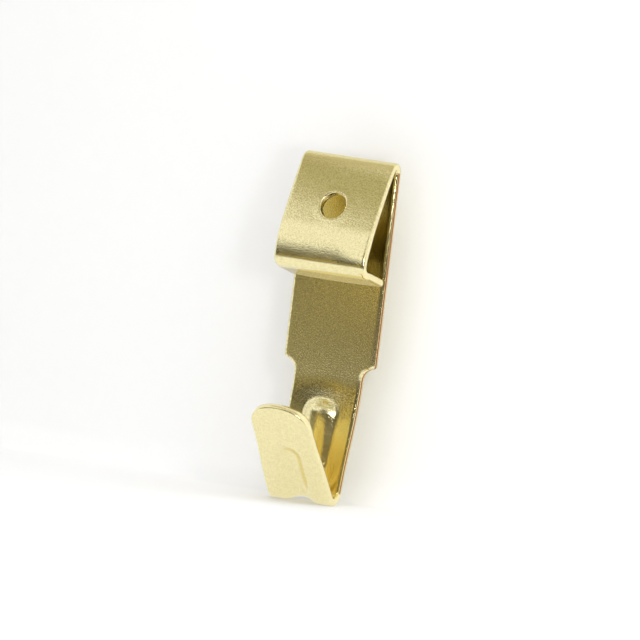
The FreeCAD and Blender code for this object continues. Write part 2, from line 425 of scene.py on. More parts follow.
class SheetFold:
    """The middle surface of the strip while it is folded, row by row, in edit mode."""

    WELD = 0.001

    def __init__(self, name: str, columns: Sequence[float], start: Vector, first_step: float) -> None:
        """Adds the first two rows of the strap, upright.

        Args:
            name: The object's name.
            columns: Places of the columns across the strip, from left to right.
            start: The middle of the lower row.
            first_step: The height of the upper row over it.
        """
        self.rows: list[Row] = []
        self.starts: dict[Section, tuple[Vector, float]] = {}
        self.point = start.copy()
        self.heading = UP
        self.along = 0.0
        self.reach = 0.0
        deselect_all()
        middle = (start + Vector((0.0, 0.0, first_step / 2))) * MM
        bpy.ops.mesh.primitive_grid_add(
            x_subdivisions=len(columns) - 1,
            y_subdivisions=1,
            size=1.0,
            location=middle,
            rotation=(math.pi / 2, 0.0, 0.0),
        )
        self.piece = bpy.context.object
        self.piece.name = name
        self.piece.scale = ((columns[-1] - columns[0]) * MM, first_step * MM, 1.0)
        settle(self.piece)
        self._number(columns, start.z + first_step / 2)

    def _number(self, columns: Sequence[float], middle: float) -> None:
        """Numbers the points by row, split at a middle height, and by column, which is moved to its place."""
        rows, numbers = (self.piece.data.attributes.new(name, "INT", "POINT") for name in ("row", "column"))
        left, right = columns[0], columns[-1]
        for vertex in self.piece.data.vertices:
            column = round((vertex.co.x / MM - left) / (right - left) * (len(columns) - 1))
            numbers.data[vertex.index].value = column
            rows.data[vertex.index].value = int(vertex.co.z / MM > middle)
            vertex.co.x = columns[column] * MM

    def open(self) -> None:
        """Starts the fold: goes into edit mode."""
        start_edit(self.piece, "VERT")

    def close(self) -> None:
        """Ends the fold: makes the faces agree, with the strap's front as their outside."""
        bpy.ops.mesh.select_all(action="SELECT")
        bpy.ops.mesh.remove_doubles(threshold=self.WELD * MM)
        bpy.ops.mesh.normals_make_consistent(inside=False)
        bpy.ops.object.mode_set(mode="OBJECT")
        if self.piece.data.polygons[0].normal.y > 0.0:
            bpy.ops.object.mode_set(mode="EDIT")
            bpy.ops.mesh.select_all(action="SELECT")
            bpy.ops.mesh.flip_normals()
            bpy.ops.object.mode_set(mode="OBJECT")

    def go_to(self, row: int, point: Vector, heading: float, reach: float) -> None:
        """Selects a row to fold on from.

        Args:
            row: The row's number.
            point: Its middle.
            heading: The way that the strip runs on.
            reach: The row's distance from the hook bend.
        """
        mesh = bmesh.from_edit_mesh(self.piece.data)
        layer = mesh.verts.layers.int["row"]
        for vertex in mesh.verts:
            vertex.select = vertex[layer] == row
        mesh.select_flush(True)
        mesh.select_flush(False)
        bmesh.update_edit_mesh(self.piece.data)
        self.point = point.copy()
        self.heading = heading
        self.reach = reach

    def _mark(self, section: Section, step: float) -> None:
        """Numbers the row that was just made, which is selected.

        Args:
            section: The stretch that it belongs to.
            step: Its distance from the row before.

        Raises:
            RuntimeError: The row isn't where the fold should be.
        """
        self.along += step
        self.reach += step
        mesh = bmesh.from_edit_mesh(self.piece.data)
        layer = mesh.verts.layers.int["row"]
        number = len(self.rows)
        middle = Vector()
        chosen = [vertex for vertex in mesh.verts if vertex.select]
        for vertex in chosen:
            vertex[layer] = number
            middle += vertex.co / len(chosen)
        bmesh.update_edit_mesh(self.piece.data)
        self.rows.append(Row(section, self.along, self.reach))
        if (middle.yz - (self.point * MM).yz).length > NEAR:
            raise RuntimeError(f"the {section.value} left its line at row {number}")

    def run(self, section: Section, steps: Sequence[float]) -> None:
        """Folds a stretch on straight, by the distances between its rows."""
        self.starts[section] = (self.point.copy(), self.heading)
        self.along = 0.0
        way = direction(self.heading)
        for step in steps:
            bpy.ops.mesh.extrude_region_move(TRANSFORM_OT_translate={"value": way * step * MM})
            self.point += way * step
            self._mark(section, step)

    def bend(self, section: Section, radius: float, turn: float) -> None:
        """Folds on round a bend.

        Args:
            section: The stretch.
            radius: Radius at the middle of the sheet.
            turn: Degrees, to the left of the way it runs, seen with the wall on the left.
        """
        self.starts[section] = (self.point.copy(), self.heading)
        self.along = 0.0
        count = ROW_COUNTS[section]
        signed = math.copysign(radius, turn)
        centre = self.point + direction(self.heading + 90.0) * signed
        part = math.radians(turn) / count
        for _ in range(count):
            bpy.ops.mesh.spin(steps=1, angle=part, center=centre * MM, axis=(1.0, 0.0, 0.0))
            self.heading += turn / count
            self.point = centre - direction(self.heading + 90.0) * signed
            self._mark(section, radius * abs(part))


@dataclass
class HookStrip:
    """The hook: one strip with its nail loop, shoulders, hook bend, tongue and pressed rib."""

    LEAST_SHARE: ClassVar[float] = 1e-5

    sheet: float = 0.75
    strap_width: float = 9.75
    overall_height: float = 32.3
    exit_height: float = 25.312
    top_bend_radius: float = 0.2
    front_lean: float = 23.5
    front_upper_run: float = 6.0
    front_bow_radius: float = 9.0
    front_bow_turn: float = 16.0
    front_lower_run: float = 0.9
    loop_bend_radius: float = 0.45
    return_drop: float = 13.5
    return_clearance: float = 0.03
    hole_radius: float = 1.25
    hole_setback: float = 4.4
    shoulder_height: float = 13.0
    shoulder_corner_round: float = 0.3
    neck_width: float = 7.2
    lean_bend_radius: float = 12.0
    lower_lean: float = 7.5
    bend_width: float = 6.7
    hook_bend_radius: float = 0.5
    tongue_lean: float = 39.0
    tongue_length: float = 10.7
    tip_width: float = 6.16
    tip_crown_radius: float = 4.4
    tip_corner_radius: float = 2.4
    rib_height: float = 0.65
    rib_bend_height: float = 0.49
    rib_groove_radius: float = 1.7
    rib_foot_radius: float = 1.1
    rib_strap_reach: float = 7.2
    rib_tongue_reach: float = 4.5
    rib_run_out: float = 1.6
    rib_dip_run: float = 1.6
    rib_dip_start: float = 0.15
    swell_height: float = 0.14
    swell_radius: float = 3.6
    lip_height: float = 0.02
    lip_radius: float = 2.1
    brow_depth: float = 0.07
    brow_reach: float = 1.1
    return_sag: float = 0.12
    front_crown: float = 0.05
    corner_lift: float = 0.2
    corner_start: float = 1.4
    corner_width: float = 3.2
    brim_tuck: float = 0.035
    edge_roll: float = 0.1
    # The painted golden reflection is weaker along the rib's crest.
    crest_width: float = 0.7
    crest_reflection_cut: float = 0.6
    # Shares of painted shade in the folds, under the return sheet and on the top bend.
    strap_fold_shade: float = 0.35
    loop_fold_shade: float = 0.25
    top_bend_shade: float = 0.5
    return_shade: float = 0.85
    return_shade_rise: float = 0.2
    # Where the painted golden reflection starts on the lower strap.
    reflection_run: float = 3.5
    reflection_lead: float = 2.0
    pressed_pebble: float = 0.2
    pebble_run: float = 4.0
    mesh_pitch: float = 1.25 / 9
    ring_columns: int = 11
    outer_columns: int = 12
    edge_strip: float = 0.4
    tip_rows: int = 11
    hollow_rows: int = 8
    corner_rows: int = 4
    rows_below_exit: int = 19
    rows_above_exit: int = 10
    rows_above_hole: int = 8
    rows_below_hole: int = 1
    tip_samples: tuple[int, int, int] = (12, 41, 40)
    loop_foot: float = field(init=False)
    fold: SheetFold = field(init=False)
    piece: Piece = field(init=False)

    @property
    def half_sheet(self) -> float:
        """Half of the sheet's thickness."""
        return self.sheet / 2

    @property
    def shoulder_step(self) -> float:
        """How far a shoulder stands out from the neck."""
        return (self.strap_width - self.neck_width) / 2

    @property
    def shoulder_rise(self) -> float:
        """Height over the neck at which a shoulder's small corner ends."""
        corner = self.shoulder_corner_round
        return math.sqrt((self.shoulder_step + corner) ** 2 - corner**2)

    @property
    def neck_height(self) -> float:
        """Height of the neck, where the shoulders' hollows start, over the hook's lowest point."""
        return self.shoulder_height - self.shoulder_step

    @property
    def hook_turn(self) -> float:
        """Degrees that the hook bend turns."""
        return 180.0 - self.lower_lean - self.tongue_lean

    def arc_length(self, turn: float, radius: float) -> float:
        """Length of a bend at the middle of the sheet, from its turn and its inner radius."""
        return math.radians(turn) * (radius + self.half_sheet)

    @property
    def bend_length(self) -> float:
        """Length of the hook bend at the middle of the sheet."""
        return self.arc_length(self.hook_turn, self.hook_bend_radius)

    @property
    def loop_bend_length(self) -> float:
        """Length of the loop bend at the middle of the sheet."""
        sheets = self.front_lean + self.front_bow_turn + self.return_drop
        return self.arc_length(180.0 - sheets, self.loop_bend_radius)

    def columns(self) -> list[float]:
        """Places of the mesh's columns across the strap: close round the holes, and wide at the edges."""
        inner = [self.mesh_pitch * k for k in range(self.ring_columns + 1)]
        edge = self.strap_width / 2 - self.edge_strip
        gap = (edge - inner[-1]) / self.outer_columns
        outer = [inner[-1] + gap * (k + 1) for k in range(self.outer_columns)]
        right = inner + outer + [self.strap_width / 2]
        return [-x for x in reversed(right[1:])] + right

    def shoulder_rows(self) -> list[float]:
        """Heights over the neck of the rows that follow the shoulders, up to their small corners' top."""
        step, corner, rise = self.shoulder_step, self.shoulder_corner_round, self.shoulder_rise
        meeting = math.degrees(math.asin(rise / (step + corner)))
        spread = 90.0 - meeting
        hollow = [meeting * k / self.hollow_rows for k in range(self.hollow_rows + 1)]
        turns = [k * (90.0 + spread) / self.corner_rows - spread for k in range(1, self.corner_rows + 1)]
        return [step * math.sin(math.radians(turn)) for turn in hollow] + [
            rise - corner * math.cos(math.radians(turn)) for turn in turns
        ]

    def strap_half_width(self, along: float) -> float:
        """Half of the strap's width at a height over the neck: a hollow, a corner, then straight."""
        half, step = self.strap_width / 2, self.shoulder_step
        corner, rise = self.shoulder_corner_round, self.shoulder_rise
        if along >= rise:
            return half
        if along <= step * rise / (step + corner):
            return half - math.sqrt(max(step**2 - along**2, 0.0))
        return half - corner + math.sqrt(max(corner**2 - (rise - along) ** 2, 0.0))

    def half_width(self, row: Row) -> float:
        """Half of the strip's width at a row."""
        neck, bend, tip = self.neck_width / 2, self.bend_width / 2, self.tip_width / 2
        if row.section is Section.STRAP:
            return self.strap_half_width(row.along)
        if row.section is Section.LOWER:
            return neck + (bend - neck) * ogee(row.along / self.lower_run())
        if row.section is Section.TONGUE:
            return bend + (tip - bend) * ogee(min(row.along / self.tip_corner_start(), 1.0))
        return {Section.LEAN_BEND: neck, Section.HOOK_BEND: bend}.get(row.section, self.strap_width / 2)

    def lower_run(self) -> float:
        """Length of the flat part of the lower strap."""
        lean, radius = math.radians(self.lower_lean), self.hook_bend_radius + self.half_sheet
        top = self.neck_height - (self.lean_bend_radius + self.half_sheet) * math.sin(lean)
        bottom = self.hook_bend_radius + self.sheet - radius * math.sin(lean)
        return (top - bottom) / math.cos(lean)

    def tip_corner_start(self) -> float:
        """Distance along the tongue at which the round corners of its tip start."""
        return self.tongue_length - self.tip_crown_radius + self.tip_corner_rise()

    def tip_corner_rise(self) -> float:
        """Distance from the centre of the tip's crown to those of its corners, along the tongue."""
        inset = self.tip_width / 2 - self.tip_corner_radius
        return math.sqrt((self.tip_crown_radius - self.tip_corner_radius) ** 2 - inset**2)

    def build(self) -> Piece:
        """Models the strip, and gives the finished object."""
        self.fold_sheet()
        self.shape_outline()
        self.punch_holes()
        self.press_forms()
        self.thicken()
        return self.piece

    def fold_sheet(self) -> None:
        """Folds the middle surface: first the nail loop, upwards, and then the hook, downwards."""
        neck = Vector((0.0, -self.half_sheet, self.neck_height - self.exit_height))
        heights = self.shoulder_rows()
        hook_reach = -self.lower_run() - self.arc_length(self.lower_lean, self.lean_bend_radius)
        fold = SheetFold("hook_strip", self.columns(), neck, heights[1])
        self.fold, self.piece = fold, fold.piece
        fold.rows += [Row(Section.STRAP, height, hook_reach - height) for height in heights[:2]]
        fold.open()
        self._fold_loop(neck, heights)
        self._fold_hook(neck, hook_reach)
        fold.close()

    def _fold_loop(self, neck: Vector, heights: list[float]) -> None:
        """Folds the strap, the front sheet and the return sheet.

        Args:
            neck: The middle of the strip, where the shoulders start.
            heights: Heights of the shoulders' rows over it.
        """
        fold, ring = self.fold, self.mesh_pitch * self.ring_columns
        rings = equal_steps(2 * ring, 2 * self.ring_columns)
        strap = self.overall_height - self.top_bend_radius - self.sheet - self.neck_height
        exit_at = -neck.z
        fold.go_to(1, neck + Vector((0.0, 0.0, heights[1])), UP, -heights[1])
        shoulder = [b - a for a, b in zip(heights[1:], heights[2:])]
        below = equal_steps(exit_at - ring - heights[-1], self.rows_below_exit)
        above = equal_steps(strap - exit_at - ring, self.rows_above_exit)
        fold.run(Section.STRAP, shoulder + below + rings + above)
        fold.starts[Section.STRAP] = (neck, UP)
        self._count_strap_rows(heights[1])
        fold.bend(Section.TOP_BEND, self.top_bend_radius + self.half_sheet, self.front_lean - 180.0)
        over = equal_steps(self.hole_setback - ring, self.rows_above_hole)
        under = equal_steps(self.front_upper_run - self.hole_setback - ring, self.rows_below_hole)
        fold.run(Section.FRONT, over + rings + under)
        fold.bend(Section.BOW, self.front_bow_radius + self.half_sheet, -self.front_bow_turn)
        fold.run(Section.BRIM, equal_steps(self.front_lower_run, ROW_COUNTS[Section.BRIM]))
        turn = self.return_drop - 180.0 - fold.heading
        fold.bend(Section.LOOP_BEND, self.loop_bend_radius + self.half_sheet, turn)
        slope = math.radians(self.return_drop)
        end = -(self.sheet + self.return_clearance + self.half_sheet * math.sin(slope))
        length = (end - fold.point.y) / math.cos(slope)
        inner = equal_steps(length - self.edge_strip, ROW_COUNTS[Section.RETURN])
        fold.run(Section.RETURN, inner + [self.edge_strip])
        self.loop_foot = fold.point.z - self.half_sheet

    def _count_strap_rows(self, first_step: float) -> None:
        """Counts the strap's rows upwards from the neck, and not from the row that the fold left from."""
        rows = self.fold.rows
        for number in range(2, len(rows)):
            along = rows[number].along + first_step
            rows[number] = Row(Section.STRAP, along, rows[0].reach - along)

    def _fold_hook(self, neck: Vector, reach: float) -> None:
        """Folds the lower strap, the hook bend and the tongue, from the neck and its reach."""
        fold = self.fold
        fold.go_to(0, neck, DOWN, reach)
        fold.bend(Section.LEAN_BEND, self.lean_bend_radius + self.half_sheet, self.lower_lean)
        fold.run(Section.LOWER, equal_steps(self.lower_run(), ROW_COUNTS[Section.LOWER]))
        fold.bend(Section.HOOK_BEND, self.hook_bend_radius + self.half_sheet, self.hook_turn)
        body = equal_steps(self.tip_start(), ROW_COUNTS[Section.TONGUE])
        tip = equal_steps(self.tongue_length - self.tip_start(), self.tip_rows)
        fold.run(Section.TONGUE, body + tip)

    def tip_start(self) -> float:
        """Distance along the tongue at which the mesh starts to follow the tip."""
        return self.tip_corner_start() - self.tip_corner_radius / 2

    def read_points(self) -> tuple[np.ndarray, np.ndarray, np.ndarray]:
        """Places of the mesh's points in millimetres, and each point's row and column."""
        mesh = self.piece.data
        places = np.zeros(len(mesh.vertices) * 3)
        mesh.vertices.foreach_get("co", places)
        numbers = []
        for name in ("row", "column"):
            values = np.zeros(len(mesh.vertices), dtype=np.int32)
            mesh.attributes[name].data.foreach_get("value", values)
            numbers.append(values)
        return places.reshape(-1, 3) / MM, numbers[0], numbers[1]

    def write_points(self, places: np.ndarray) -> None:
        """Moves the mesh's points to places in millimetres."""
        self.piece.data.vertices.foreach_set("co", (places * MM).ravel())
        self.piece.data.update()

    def shape_outline(self) -> None:
        """Draws the strip in to its outline: shoulders, lower strap, tongue and round tip."""
        places, rows, columns = self.read_points()
        across = np.array(self.columns()) / (self.strap_width / 2)
        tip_first = len(self.fold.rows) - self.tip_rows - 1
        for index, (row, column) in enumerate(zip(rows, columns)):
            if row > tip_first:
                share = (row - tip_first) / self.tip_rows
                places[index] = self.on_sheet(Section.TONGUE, *self.tip_point(float(across[column]), share))
            else:
                places[index, 0] = across[column] * self.half_width(self.fold.rows[row])
        for section, centre in self.hole_places():
            for index, row in enumerate(rows):
                if self.fold.rows[row].section is section:
                    x, along = places[index, 0], self.fold.rows[row].along - centre
                    moved = self.round_ring(float(x), along)
                    if moved is not None:
                        places[index] = self.on_sheet(section, moved[0], moved[1] + centre)
        self.write_points(places)

    def on_sheet(self, section: Section, x: float, along: float) -> Vector:
        """Place of a point of a flat stretch, from its distances to the middle line and to the start."""
        start, heading = self.fold.starts[section]
        return start + direction(heading) * along + Vector((x, 0.0, 0.0))

    def hole_places(self) -> list[tuple[Section, float]]:
        """The nail holes, each as its stretch and its distance from the stretch's start."""
        return [(Section.STRAP, self.exit_height - self.neck_height), (Section.FRONT, self.hole_setback)]

    def round_ring(self, x: float, y: float) -> Optional[tuple[float, float]]:
        """Turns the square rings of points round a hole into round ones.

        Args:
            x: Distance across from the hole's middle.
            y: Distance along from the hole's middle.

        Returns:
            The new distances, or None for a point outside the rings.
        """
        size, limit = max(abs(x), abs(y)), self.mesh_pitch * self.ring_columns
        if size < TINY or size >= limit - TINY:
            return None
        if abs(x) > abs(y):
            radius, angle = x, math.pi / 4 * y / x
        else:
            radius, angle = y, math.pi / 2 - math.pi / 4 * x / y
        flat_ring = limit - self.hole_radius - self.mesh_pitch
        share = float(eased(np.array((limit - size) / flat_ring)))
        return x + (radius * math.cos(angle) - x) * share, y + (radius * math.sin(angle) - y) * share

    def tip_outline(self) -> tuple[np.ndarray, np.ndarray]:
        """The right half of the tip's outline.

        Returns:
            Its side, up to the middle of the round corner, and its end, from there to the crown's middle.
        """
        half, corner, crown = self.tip_width / 2, self.tip_corner_radius, self.tip_crown_radius
        centre = np.array([half - corner, self.tip_corner_start()])
        slant = math.atan2(self.tip_corner_rise(), half - corner)
        side_count, arc_count, crown_count = self.tip_samples
        starts = np.linspace(self.tip_start(), self.tip_corner_start(), side_count)
        widths = [self.half_width(Row(Section.TONGUE, y, 0.0)) for y in starts]
        side = np.column_stack([widths, starts])
        turns = np.linspace(0.0, slant, arc_count)
        arc = centre + corner * np.column_stack([np.cos(turns), np.sin(turns)])
        tops = np.linspace(slant, math.pi / 2, crown_count)
        low = np.array([0.0, self.tongue_length - crown])
        top = low + crown * np.column_stack([np.cos(tops), np.sin(tops)])
        cut = int(np.searchsorted(turns, 0.5 * slant))
        return np.vstack([side, arc[1 : cut + 1]]), np.vstack([arc[cut:], top[1:]])

    @staticmethod
    def along_line(points: np.ndarray, share: float) -> np.ndarray:
        """Point at a share of the length of a line of points."""
        steps = np.linalg.norm(np.diff(points, axis=0), axis=1)
        lengths = np.concatenate([[0.0], np.cumsum(steps)])
        at = share * lengths[-1]
        return np.array([np.interp(at, lengths, points[:, k]) for k in range(2)])

    def tip_point(self, across: float, up: float) -> tuple[float, float]:
        """Place of a point of the tip's mesh, which is stretched between its four edges.

        Args:
            across: From -1 at the left edge to 1 at the right.
            up: From 0 at the tip's start to 1 at its end.

        Returns:
            Distances from the tongue's middle line and from its start.
        """
        side, end = self.tip_outline()
        flip = np.array([-1.0, 1.0])
        right = self.along_line(side, up)
        half_end = self.along_line(end, 1.0 - abs(across))
        top = half_end if across >= 0.0 else half_end * flip
        bottom = np.array([across * side[0][0], side[0][1]])
        part = (across + 1.0) / 2
        flat = (1.0 - up) * bottom + up * top
        sides = (1.0 - part) * right * flip + part * right
        corners = (1.0 - up) * ((1.0 - part) * side[0] * flip + part * side[0])
        corners = corners + up * ((1.0 - part) * end[0] * flip + part * end[0])
        x, y = flat + sides - corners
        return float(x), float(y)

    def punch_holes(self) -> None:
        """Takes out the faces inside the two nail holes."""
        start_edit(self.piece, "FACE")
        bpy.ops.mesh.select_all(action="DESELECT")
        mesh = bmesh.from_edit_mesh(self.piece.data)
        row_layer = mesh.verts.layers.int["row"]
        centres = [(section, self.on_sheet(section, 0.0, at) * MM) for section, at in self.hole_places()]
        reach = self.hole_radius * MM
        for face in mesh.faces:
            middle = face.calc_center_median()
            for section, centre in centres:
                inside = all(self.fold.rows[vertex[row_layer]].section is section for vertex in face.verts)
                if inside and (middle - centre).length < reach:
                    face.select = True
        bmesh.update_edit_mesh(self.piece.data)
        bpy.ops.mesh.delete(type="FACE")
        bpy.ops.object.mode_set(mode="OBJECT")

    def rib_share(self, distance: np.ndarray) -> np.ndarray:
        """Shares of the rib's height at distances from its middle line: a round crest and a hollow foot."""
        crest, foot = self.rib_groove_radius + self.half_sheet, self.rib_foot_radius + self.half_sheet
        flank = math.acos(1.0 - self.rib_height / (crest + foot))
        half = (crest + foot) * math.sin(flank)
        inner = np.minimum(distance, crest)
        outer = np.clip(half - distance, 0.0, foot)
        top = self.rib_height - crest + np.sqrt(crest**2 - inner**2)
        low = foot - np.sqrt(foot**2 - outer**2)
        return np.where(distance < crest * math.sin(flank), top, low) / self.rib_height

    def in_sections(self, rows: np.ndarray, *sections: Section) -> np.ndarray:
        """Which points, by the numbers of their rows, belong to one of some stretches."""
        return np.array([row.section in sections for row in self.fold.rows])[rows]

    def by_row(self, rows: np.ndarray, measure: Callable[[Row], float]) -> np.ndarray:
        """A measure of each point's row, by the numbers of the rows."""
        return np.array([measure(row) for row in self.fold.rows])[rows]

    def drawn_along(self, section: Section, places: np.ndarray) -> np.ndarray:
        """Distances of places from a flat stretch's start, the way that it runs."""
        start, heading = self.fold.starts[section]
        return (places - np.array(start)) @ np.array(direction(heading))

    def form_shares(self) -> dict[str, np.ndarray]:
        """How far each point takes part in each pressed form.

        Returns:
            Shares from 0 to 1 for the rib, the soft swell at its upper end, the raised lip of the nail hole,
            the sag of the return sheet, and the crown, the round brow, the tucked lower end and the lifted
            right corner of the front sheet.
        """
        places, rows, _ = self.read_points()
        x = places[:, 0]
        hook = self.in_sections(rows, *HOOK_SECTIONS)
        front = self.in_sections(rows, *FRONT_SECTIONS)
        flat = self.in_sections(rows, Section.FRONT)
        returned = self.in_sections(rows, Section.RETURN)
        reach = np.where(
            self.in_sections(rows, Section.TONGUE),
            self.drawn_along(Section.TONGUE, places) + self.bend_length,
            self.by_row(rows, lambda row: row.reach),
        )
        past_top = np.maximum(-self.rib_strap_reach - reach, 0.0) * self.rib_run_out
        past_end = np.maximum(reach - self.bend_length - self.rib_tongue_reach, 0.0)
        distance = np.hypot(x, past_top + past_end)
        bend = np.maximum(-reach, reach - self.bend_length)
        lowered = self.rib_bend_height / self.rib_height
        height = lowered + (1.0 - lowered) * eased(bend / self.rib_dip_run + self.rib_dip_start)
        swell = np.hypot(x, reach + self.rib_strap_reach) / self.swell_radius
        hole = np.array(self.on_sheet(Section.FRONT, 0.0, self.hole_setback))
        lip = np.clip(np.linalg.norm(places - hole, axis=1) - self.hole_radius, 0.0, None)
        crown = np.clip(self.drawn_along(Section.FRONT, places) / self.front_upper_run, 0.0, 1.0)
        right = eased((x - self.corner_start) / self.corner_width)
        sag = self.by_row(rows, lambda row: row.along) * (1.0 - (2.0 * x / self.strap_width) ** 2)
        return {
            "rib": np.where(hook, self.rib_share(distance) * height, 0.0),
            "swell": np.where(hook, np.clip(1.0 - swell**2, 0.0, 1.0) ** 2, 0.0),
            "lip": np.where(front, 1.0 - eased(lip / (self.lip_radius - self.hole_radius)), 0.0),
            "sag": np.where(returned, sag / max(float(sag[returned].max()), TINY), 0.0),
            "crown": np.where(flat, 4.0 * crown * (1.0 - crown), 0.0),
            "brow": self.by_row(rows, self.brow_share),
            "tuck": self.by_row(rows, self.tuck_share),
            "corner": self.by_row(rows, self.corner_share) * right,
        }

    def brow_share(self, row: Row) -> float:
        """How far a row takes part in the round brow, which is highest where the top bend ends."""
        if row.section is Section.TOP_BEND:
            length = self.arc_length(180.0 - self.front_lean, self.top_bend_radius)
            return float(eased(np.array(row.along / length)))
        if row.section is Section.FRONT:
            return max(1.0 - row.along / self.brow_reach, 0.0) ** 2
        return 0.0

    def tuck_share(self, row: Row) -> float:
        """How far a row takes part in the tuck of the front sheet's lower end, above the loop bend."""
        if row.section is Section.BRIM:
            return (row.along / self.front_lower_run) ** 2
        if row.section is Section.LOOP_BEND:
            return float(eased(np.array(1.0 - row.along / self.loop_bend_length)))
        return 0.0

    def corner_share(self, row: Row) -> float:
        """How far a row takes part in the lift of the front sheet's lower right corner."""
        half_bow = self.arc_length(self.front_bow_turn, self.front_bow_radius) / 2
        if row.section is Section.BOW:
            share = (row.along - half_bow) / (self.front_lower_run + half_bow)
        elif row.section is Section.BRIM:
            share = (row.along + half_bow) / (self.front_lower_run + half_bow)
        elif row.section is Section.LOOP_BEND:
            share = 1.0 - row.along / self.loop_bend_length
        else:
            share = 0.0
        return float(eased(np.array(share)))

    def press_forms(self) -> None:
        """Presses the forms into the folded sheet, each by its own points."""
        depths = {
            "rib": self.rib_height,
            "swell": self.swell_height,
            "lip": -self.lip_height,
            "sag": -self.return_sag,
            "crown": -self.front_crown,
            "brow": self.brow_depth,
            "tuck": self.brim_tuck,
            "corner": -self.corner_lift,
        }
        for name, shares in self.form_shares().items():
            group = self.piece.vertex_groups.new(name=name)
            for index in np.nonzero(shares > self.LEAST_SHARE)[0]:
                group.add([int(index)], float(shares[index]), "REPLACE")
            press = {"direction": "NORMAL", "strength": depths[name] * MM, "mid_level": 0.0}
            apply_modifier(self.piece, name, "DISPLACE", vertex_group=name, **press)

    def thicken(self) -> None:
        """Gives the sheet its thickness and its softened edges."""
        for _ in Skin:
            self.piece.data.materials.append(None)
        wall = {"thickness": self.sheet * MM, "offset": 0.0, "material_offset_rim": Skin.SHEARED.value}
        even = {"use_even_offset": True, "use_quality_normals": True}
        apply_modifier(self.piece, "wall", "SOLIDIFY", **wall, **even)
        self._roll_edges()
        self._note_faces()
        apply_modifier(self.piece, "soft_edges", "SUBSURF", levels=1, render_levels=1)
        make_active(self.piece)
        bpy.ops.object.shade_smooth()

    def front_points(self) -> np.ndarray:
        """Which points of the thickened sheet lie on the strap's front, or inside the folds."""
        mesh = self.piece.data
        half = len(mesh.vertices) // 2
        front = np.ones(len(mesh.vertices), dtype=bool)
        front[slice(half, None) if mesh.polygons[0].normal.y < 0.0 else slice(0, half)] = False
        return front

    def _roll_edges(self) -> None:
        """Rolls the front of the strap's side edges over a little, as shears leave it."""
        places, rows, columns = self.read_points()
        rolled = self.front_points() & self.in_sections(rows, *ROLLED_EDGE_SECTIONS)
        edge = (columns == 0) | (columns == columns.max())
        places[rolled & edge, 1] += self.edge_roll
        self.write_points(places)

    def _note_faces(self) -> None:
        """Writes each point's share of the painted shade line along the cut edges' front arris, of painted
        shade in the folds, of the painted golden reflection inside the hook, and of grain.
        """
        places, rows, _ = self.read_points()
        front = self.front_points()
        # Painted reflection: the golden inside of the hook, paler along the rib's crest.
        crest = np.exp(-((places[:, 0] / self.crest_width) ** 2))
        reflected_gold = self.by_row(rows, self.gold_reflection) * (1.0 - self.crest_reflection_cut * crest)
        # Painted shade along the front arris of the cut edges, on the front points of the rolled stretches.
        shaded_arris = front & self.in_sections(rows, *ROLLED_EDGE_SECTIONS)
        inner, outer = self.by_row(rows, self.inner_fold_shade), self.by_row(rows, self.outer_fold_shade)
        notes = {
            ARRIS_SHADE: np.where(shaded_arris, 1.0, 0.0),
            FOLD_SHADE: np.where(front, inner, outer),
            GOLD_REFLECTION: np.where(front, reflected_gold, 0.0),
            PEBBLE: self.by_row(rows, self.pebble),
        }
        for name, values in notes.items():
            self.piece.data.attributes.new(name, "FLOAT", "POINT").data.foreach_set("value", values)

    def inner_fold_shade(self, row: Row) -> float:
        """Share of painted shade on the strip's front or inner face: some inside the nail loop, and none
        elsewhere.
        """
        if row.section is Section.STRAP:
            height = row.along + self.neck_height - self.exit_height
            return self.strap_fold_shade if height > self.loop_foot else 0.0
        return 0.0 if row.section in HOOK_SECTIONS else self.loop_fold_shade

    def outer_fold_shade(self, row: Row) -> float:
        """Share of painted shade on the back or outer face: most under the return sheet, and some on the top
        bend and the top of the front sheet.
        """
        if row.section is Section.TOP_BEND:
            return self.top_bend_shade
        if row.section is Section.FRONT:
            return max(self.top_bend_shade * (1.0 - row.along), 0.0)
        if row.section is Section.RETURN:
            return min(self.return_shade + self.return_shade_rise * row.along, 1.0)
        return 0.0

    def gold_reflection(self, row: Row) -> float:
        """Share of the painted golden reflection inside the hook: from 0 on the strap to 1 in the bend and on
        the tongue.
        """
        if row.section is Section.LOWER:
            return float(eased(np.array(row.reach / self.reflection_run + self.reflection_lead)))
        return 1.0 if row.section in (Section.HOOK_BEND, Section.TONGUE) else 0.0

    def pebble(self, row: Row) -> float:
        """How much grain the plating shows: all on the strap, and least where the press has smoothed it."""
        if row.section is Section.LOWER:
            smoothed = float(eased(np.array(row.along / self.pebble_run)))
            return 1.0 - (1.0 - self.pressed_pebble) * smoothed
        return PEBBLE_SHARES.get(row.section, self.pressed_pebble)

    def dress(self, plated: BrassFinish, sheared: BrassFinish) -> None:
        """Gives the strip the finish of its two faces, and that of its cut edges and hole walls."""
        for skin, finish in ((Skin.PLATED, plated), (Skin.SHEARED, sheared)):
            self.piece.data.materials[skin.value] = finish.material()


